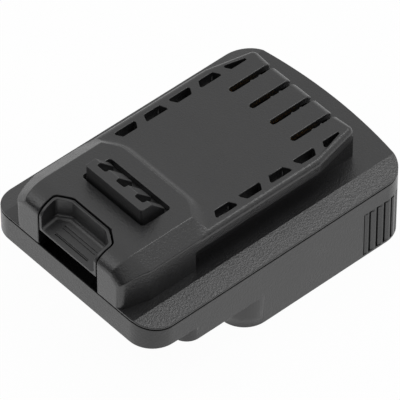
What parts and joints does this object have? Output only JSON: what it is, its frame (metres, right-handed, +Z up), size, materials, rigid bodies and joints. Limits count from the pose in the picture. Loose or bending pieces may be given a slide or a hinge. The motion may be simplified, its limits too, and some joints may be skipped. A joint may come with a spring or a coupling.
{
  "type": "tool battery adapter",
  "caption": "Slide-on battery adapter with a flanged tool rail, contact slots and a sprung release latch on top, and a railed battery socket with contact blades underneath.",
  "frame": {"origin": "middle of the box around the adapter, at the plane of its underside", "axes": "+Y from the button end to the contact end, +Z up from the battery socket to the tool rail, +X to the right when looking along +Y"},
  "size_m": [0.08, 0.116, 0.0523],
  "materials": {
    "housing_plastic": "fine moulded grain",
    "cover_plastic": "fine moulded grain",
    "latch_plastic": "smooth satin",
    "spring_steel": "drawn wire",
    "insulator_plastic": "plain moulded",
    "contact_brass": "bright stamped strip",
    "screw_steel": "zinc plated",
    "lead_red": "smooth insulation",
    "lead_white": "smooth insulation",
    "lead_yellow": "smooth insulation",
    "lead_black": "smooth insulation"
  },
  "bodies": {
    "housing": {"lower_housing": "housing_plastic", "upper_cover": "cover_plastic", "latch_spring_left": "spring_steel", "latch_spring_right": "spring_steel", "clip_carrier": "insulator_plastic", "clip_positive": "contact_brass", "clip_signal_a": "contact_brass", "clip_signal_b": "contact_brass", "clip_negative": "contact_brass", "carrier_screws": "screw_steel", "blade_block": "insulator_plastic", "blade_positive": "contact_brass", "blade_signal_a": "contact_brass", "blade_signal_b": "contact_brass", "blade_negative": "contact_brass", "blade_block_screws": "screw_steel", "lead_positive": "lead_red", "lead_signal_a": "lead_white", "lead_signal_b": "lead_yellow", "lead_negative": "lead_black", "housing_screws": "screw_steel"},
    "latch": {"release_latch": "latch_plastic"}
  },
  "joints": [
    {"name": "latch_press", "type": "slide", "parent": "housing", "child": "latch", "axis": [0, 0, -1], "range_m": [0, 0.005], "stiffness_N_per_m": 1500, "springref_m": -0.004, "deforming": ["latch_spring_left", "latch_spring_right"]}
  ]
}
